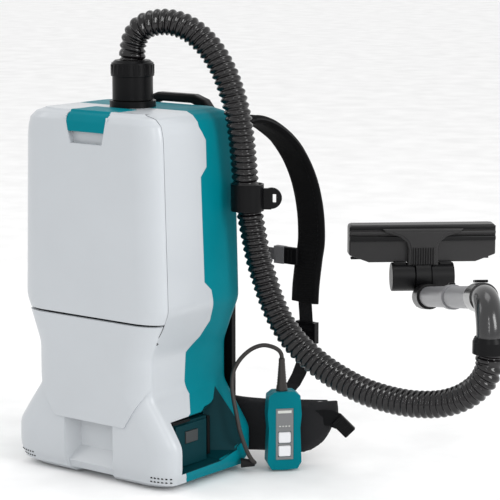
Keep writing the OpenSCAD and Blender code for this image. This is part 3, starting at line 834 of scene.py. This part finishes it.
def band(name, route, width, thick, across, mat, replaces=(), mirror=False, sides=36, edge=0.45, step=0.006,
         wrinkle=0.5, end_round=0.0, rise=0.0):
    """Padded strap swept along a route, its width along the direction across.

    Its last stretch of end_round metres is rounded off, and rise moves that end's middle up.
    """
    path = resample(spline(metres(route), 8), step)
    total = len(path) - 1
    rings = []
    for i, (p, t) in enumerate(zip(path, tangents(path))):
        n = t.cross(Vector(across)).normalized()
        s = n.cross(t)
        w = 1.0
        if end_round:
            left = (total - i) * step / end_round
            if left < 1:
                w *= math.sqrt(max(1 - (1 - left) ** 2, 0.16))
        ring = []
        for x, y in pillow(width * MM, thick * MM, sides, edge):
            ripple = wrinkle * MM * math.sin(i * 0.55 + 3 * math.sin(x * 160)) * math.sin(x * 140 + i * 0.21)
            sideways = x * w + (1 - w) * rise * width * MM / 2
            q = p + s * sideways + n * (y + (ripple if abs(y) > 0.002 else 0))
            ring.append(Vector((-q.x, q.y, q.z)) if mirror else q)
        rings.append(ring[::-1] if mirror else ring)
    return add_mesh(name, *skin(rings), mat, "casing", "padding", replaces)


def seam_line(name, route, offset, lift, across, radius, mat, mirror=False, sides=8, step=0.005,
              dashes=False):
    """Piping or a run of stitching laid along a band, offset sideways and lifted off its face."""
    path = resample(spline(metres(route), 8), step)
    line = []
    for p, t in zip(path, tangents(path)):
        n = t.cross(Vector(across)).normalized()
        s = n.cross(t)
        q = p + s * offset * MM + n * lift * MM
        line.append(Vector((-q.x, q.y, q.z)) if mirror else q)
    runs = [line] if not dashes else [line[i:i + 2] for i in range(0, len(line) - 1, 2)]
    points, faces = [], []
    for run in runs:
        rings = []
        for p, t in zip(run, tangents(run)):
            u = t.cross(Vector((0.31, 0.52, 0.79))).normalized()
            v = t.cross(u)
            rings.append([p + radius * MM * (math.cos(a) * u + math.sin(a) * v)
                          for a in [2 * math.pi * j / sides for j in range(sides)]])
        more, extra = skin(rings)
        faces += [tuple(k + len(points) for k in f) for f in extra]
        points += more
    return add_mesh(name, points, faces, mat, "casing", "padding")


STRAP = [(68, 88, 488), (70, 98, 491), (80, 116, 497), (97, 140, 500), (111, 168, 485), (123, 196, 455),
         (132, 217, 412), (137, 228, 364), (138, 231, 317), (137, 226, 286), (135, 222, 250), (134, 221, 222)]
BELT = [(84, 98, 57), (104, 98, 57), (124, 102, 57), (150, 112, 57), (178, 129, 57), (206, 147, 57),
        (222, 158, 57), (236, 168, 57)]


CLOTH_FRAMES = 20
ALONG_X, ALONG_Z = (1, 0, 0), (0, 0, 1)


def puff(piece, cap, voxel=0.004, pressure=3.0):
    """Blows a padded piece up a little as cloth, so that its skin wrinkles and crowns."""
    mod = piece.modifiers.new("remesh", "REMESH")
    mod.mode = "VOXEL"
    mod.voxel_size = voxel
    apply_modifiers(piece)
    start = [v.co.copy() for v in piece.data.vertices]
    cloth = piece.modifiers.new("cloth", "CLOTH")
    settings = cloth.settings
    settings.quality = 4
    settings.mass = 0.2
    settings.tension_stiffness = 12
    settings.compression_stiffness = 12
    settings.shear_stiffness = 4
    settings.bending_stiffness = 0.3
    settings.use_pressure = True
    settings.uniform_pressure_force = pressure
    settings.effector_weights.gravity = 0
    cloth.point_cache.frame_start = 1
    cloth.point_cache.frame_end = CLOTH_FRAMES
    for number in range(1, CLOTH_FRAMES + 1):
        SCENE.frame_set(number)
    apply_modifiers(piece)
    for v, rest in zip(piece.data.vertices, start):
        move = v.co - rest
        if move.length > cap:
            v.co = rest + move.normalized() * cap
    SCENE.frame_set(1)
    ease = piece.modifiers.new("ease", "SMOOTH")
    ease.factor = 0.5
    ease.iterations = 4
    apply_modifiers(piece)
    for face in piece.data.polygons:
        face.use_smooth = True
    piece.data.materials.clear()
    piece.data.materials.append(MATS["pad"])
    fine = piece.modifiers.new("fine", "SUBSURF")
    fine.levels = fine.render_levels = 1
    return piece


def make_straps():
    for side, flip in (("right", False), ("left", True)):
        strap = band("strap_padded_" + side, STRAP, 49, 13, ALONG_X, "strap", ["shoulder_strap_" + side], flip)
        for k, x in enumerate((-22.5, 22.5)):
            seam_line(f"strap_piping_{side}_{k}", STRAP[1:], x, 0, ALONG_X, 2.2, "edge", flip)
        for k, x in enumerate((-16, 16)):
            for m, lift in enumerate((-6.1, 6.1)):
                seam_line(f"strap_stitch_{side}_{k}_{m}", STRAP[1:-1], x, lift, ALONG_X, 0.45, "webbing", flip,
                          6, 0.0035, True)
        belt = band("belt_padded_" + side, BELT, 88, 13, ALONG_Z, "pad", ["belt_" + side], flip, sides=48,
                    end_round=0.06, rise=0.85)
        puff(belt, 0.0035)
        for k, (z, last) in enumerate(((-22, -3), (0, -2), (24, -1), (37, -1))):
            seam_line(f"belt_quilting_{side}_{k}", BELT[:last], z, -7.2, ALONG_Z, 1.1, "edge", flip)


def make_pads():
    """Three foam pads on the back plate, each with a crowned mesh cover."""
    for number, (low, high) in enumerate(((140, 230), (270, 360), (400, 480))):
        bm = bmesh.new()
        bmesh.ops.create_cube(bm, size=1)
        bmesh.ops.subdivide_edges(bm, edges=bm.edges, cuts=5, use_grid_fill=True)
        for v in bm.verts:
            x, y, z = v.co.x * 2, v.co.y * 2, v.co.z * 2
            crown = 1 - 0.35 * (abs(x) ** 4 + abs(z) ** 4) / 2 if y > 0 else 1
            middle, half = (low + high) / 2, (high - low) / 2 * 0.96
            v.co = Vector((84 * x, 99.7 + 9.0 * y * crown, middle + half * z)) * MM
        pad = from_bmesh(f"back_pad_{number}", bm, "pad", slot="padding",
                         replaces=["back_pads"] if number == 0 else ())
        mod = pad.modifiers.new("round", "SUBSURF")
        mod.levels = mod.render_levels = 2
        apply_modifiers(pad)
        puff(pad, 0.004, 0.006)


# ---------------------------------------------------------------- hand pieces

WAND = Matrix.Translation((0.5457, 0.0757, 0)) @ Matrix.Rotation(math.radians(131.9), 4, "Z")
REMOTE = Matrix.Translation((0.186, 0.0985, 0)) @ Matrix.Rotation(math.radians(48), 4, "Z")


def nozzle_prism(name, outline, low, high, mat, round_mm, replaces=()):
    """Outline across the wand, pushed along it between two distances in millimetres, then rounded."""
    n = len(outline)
    points = [WAND @ (Vector((x, a, b)) * MM) for x in (low, high) for a, b in outline]
    faces = [(j, (j + 1) % n, n + (j + 1) % n, n + j) for j in range(n)]
    faces += [tuple(range(n))[::-1], tuple(range(n, 2 * n))]
    bm = as_bmesh(points, faces)
    return bevel(from_bmesh(name, bm, mat, body="nozzle", slot="grey_plastic", replaces=replaces), round_mm)


def make_nozzle():
    """Floor head with stepped lips, a flared and ribbed fairing, and the swivel barrel under it."""
    half = 118
    face = [(-half, 253), (-half, 298), (-half + 3, 301.5), (half - 3, 301.5), (half, 298), (half, 253),
            (half - 32, 241), (-half + 32, 241)]
    nozzle_prism("nozzle_body", face, 606, 634, "nozzle", 2.0, ["nozzle_head"])
    bands = [(294.5, 300, 603), (286, 292, 601.5), (276, 283.5, 600.5)]
    for k, (low, high, front) in enumerate(bands):
        strip = [(-half + 0.5, low), (-half + 0.5, high), (half - 0.5, high), (half - 0.5, low)]
        nozzle_prism(f"nozzle_lip_{k}", strip, front, 608, "barrel" if k != 1 else "nozzle", 1.6)
    right = [(25, 236), (24, 262), (27, 274), (38, 283), (60, 290), (66, 296)]
    fairing = [(-a, b) for a, b in right] + right[::-1]
    nozzle_prism("nozzle_fairing", fairing, 597.2, 608, "nozzle", 2.4)
    inner = [(20, 238), (19, 262), (22, 275), (33, 285), (50, 291)]
    nozzle_prism("nozzle_fairing_face", [(-a, b) for a, b in inner] + inner[::-1], 595.9, 599, "nozzle", 1.0)
    for k in range(9):
        y = -16 + 4 * k
        low, high = (594.2, y - 0.9, 236), (597, y + 0.9, 266)
        box_piece(f"nozzle_rib_{k}", low, high, "barrel", "nozzle", 0.7, WAND)
    finished("nozzle_sole", "rubber", 0.8)
    finished("nozzle_barrel", "barrel", 3.0, 4)
    finished("nozzle_neck", "barrel", 1.5)
    for s in (-1, 1):
        box_piece(f"nozzle_leg_{s + 1}", *leg_box(s), "barrel", "nozzle", 1.5, WAND)


def leg_box(s):
    ys = sorted((s * 27, s * 46))
    return (600, ys[0], 226), (618, ys[1], 243)


def make_wand():
    finished("wand", "wand", 1.0)
    finished("wand_button", "black", 1.2)
    finished("grip", "grip", 0.8)
    finished("grip_cuff", "black", 1.5)
    finished("suction_slider", "black", 1.2)


def make_remote():
    finished("remote_front", "teal", 2.4)
    finished("remote_back", "teal", 2.0)
    finished("remote_panel", "panel", 0.5)
    finished("remote_button_upper", "key", 2.0)
    finished("remote_button_lower", "key", 2.0)
    finished("cable_gland", "rubber", 1.0)
    front = -13.0
    low, high = (-10, front - 0.15, 86), (10, front + 0.6, 90)
    box_piece("remote_light_strip", low, high, "light", "casing", 0.3, REMOTE)
    for k in range(4):
        low, high = (-8 + 4.5 * k, front - 0.1, 66), (-5.5 + 4.5 * k, front + 0.5, 67.6)
        box_piece(f"remote_lamp_{k}", low, high, "light", "casing", 0.3, REMOTE)
    sides, rings = 32, []
    for k in range(25):
        t = k / 24
        r = (8.6 - 4.2 * t ** 0.8) * (1 - 0.09 * (0.5 - 0.5 * math.cos(k * math.pi)) * (0.15 < t < 0.9))
        z = 116.6 + 47.4 * t
        rings.append([REMOTE @ (Vector((-2.0 + r * math.cos(a), 0.3 + r * math.sin(a), z)) * MM)
                      for a in [2 * math.pi * j / sides for j in range(sides)]])
    add_mesh("remote_strain_relief", *skin(rings), "cable", "casing", "black_rubber", ["remote_relief"])


def make_vents():
    """Rows of small black blocks on the lower corners of the casing: painted shade standing in for the dark
    inside of vent holes.
    """
    for s, tag in ((1, "right"), (-1, "left")):
        for row in range(2):
            for k in range(6):
                z = 14.5 + 6.0 * row
                x = 112 + 5.6 * k + 2 * row
                p = surface_line([(z, None, x)], 0.0)[0]
                turn = Matrix.Rotation(s * math.radians(18 + 8 * k), 4, "Z")
                place = Matrix.Translation((s * p.x, p.y, p.z)) @ turn
                low, high = (-1.6, -0.5, -1.1), (1.6, 1.4, 1.1)
                # Each black block is painted shade for a vent hole.
                box_piece(f"foot_vent_{tag}_{row}_{k}", low, high, "rubber", "casing", 0.4, place)


def make_hardware():
    make_vents()
    finished("carry_handle", "black", 3.5, 4)
    finished("inlet_collar", "black", 1.0)
    finished("inlet_cuff", "black", 1.5)
    for k in range(24):
        a = 2 * math.pi * k / 24
        place = Matrix.Translation((0, -0.012, 0)) @ Matrix.Rotation(a, 4, "Z")
        low, high = (28.0, -1.3, 571.5), (31.2, 1.3, 585.5)
        box_piece(f"cuff_rib_{k}", low, high, "black", "inlet_swivel", 0.7, place)
    finished("back_plate", "black", 1.5)
    finished("ladder_locks", "black", 1.2)
    for s in (1, -1):
        low, high = ordered(s, (97, 213.4, 277), (124, 221.2, 303))
        box_piece(f"chest_slider_{s + 1}", low, high, "black", "casing", 2.0)
        for k in range(3):
            low, high = ordered(s, (100 + 6 * k, 212.8, 281), (102.4 + 6 * k, 214.4, 299))
            box_piece(f"chest_slider_rib_{s + 1}_{k}", low, high, "black", "casing", 0.5)
    finished("belt_buckle", "black", 2.0)
    finished("base_tray", "rubber", 0.6)
    finished("rubber_feet", "rubber", 0.8)
    for side in ("right", "left"):
        finished("battery_" + side, "dark_teal_and_bay_shade", 1.6)
        finished("battery_button_" + side, "release", 1.0)
    buckle_detail()


def buckle_detail():
    """Ribs on the side-release buckle ends of the belt webbing."""
    for s in (1, -1):
        place = Matrix.Diagonal((s, 1, 1, 1)) @ Matrix.Translation((0.240, 0.155, 0.072)) \
            @ Matrix.Rotation(math.radians(35), 4, "Z") @ Matrix.Rotation(math.radians(45), 4, "Y")
        for k in range(6):
            box_piece(f"buckle_rib_{s + 1}_{k}", (4 + 4.2 * k, -5.9, -8.4), (6 + 4.2 * k, -4.5, 8.4), "black",
                      "casing", 0.4, place)


PLAIN = {
    "lid_seal": "rubber", "latch_pin": "steel", "hinge_pins": "steel", "casing_screws": "steel",
    "bag_holder": "black", "dust_bag": "bag", "hepa_filter": "paper", "filter_frame": "dark_teal_and_bay_shade",
    "motor_housing": "black", "motor": "steel", "motor_mount": "rubber", "impeller": "nozzle",
    "control_board": "board", "exhaust_filter": "rubber", "battery_dock_right": "dark_teal_and_bay_shade",
    "battery_dock_left": "dark_teal_and_bay_shade", "strap_webbing": "webbing", "belt_webbing": "webbing",
    "chest_strap": "webbing_grey",
}


def make_bag():
    """Creased felt bag with a soft, slightly collapsed body."""
    rings = []
    for i in range(33):
        t = i / 32
        z = 253 + 236 * t
        swell = (math.sin(math.pi * min(max(t, 0.02), 0.98)) ** 0.28) * (0.97 + 0.03 * math.sin(t * 19))
        ring = []
        for j in range(64):
            a = 2 * math.pi * j / 64
            c, s = math.cos(a), math.sin(a)
            crease = 1 + 0.018 * math.sin(5 * a + 7 * t) + 0.012 * math.sin(11 * a - 13 * t)
            x = math.copysign(abs(c) ** 0.6, c) * 90 * swell * crease
            y = -11 + math.copysign(abs(s) ** 0.6, s) * 57 * swell * crease
            ring.append(Vector((x, y, z)) * MM)
        rings.append(ring)
    bag = add_mesh("dust_bag_felt", *skin(rings), "bag", "casing", "bag_cloth", ["dust_bag"])


def paint_frame():
    for name, key in PLAIN.items():
        item = frame["nodes"][name]
        item.data.materials.clear()
        item.data.materials.append(MATS[key])


make_camera()
make_hose()
make_cable()
make_stage()
paint_frame()
make_casing()
for sign, tag in ((1, "right"), (-1, "left")):
    make_bay_liner(sign, tag)
make_straps()
make_pads()
make_bag()
make_remote()
make_wand()
make_nozzle()
make_hardware()
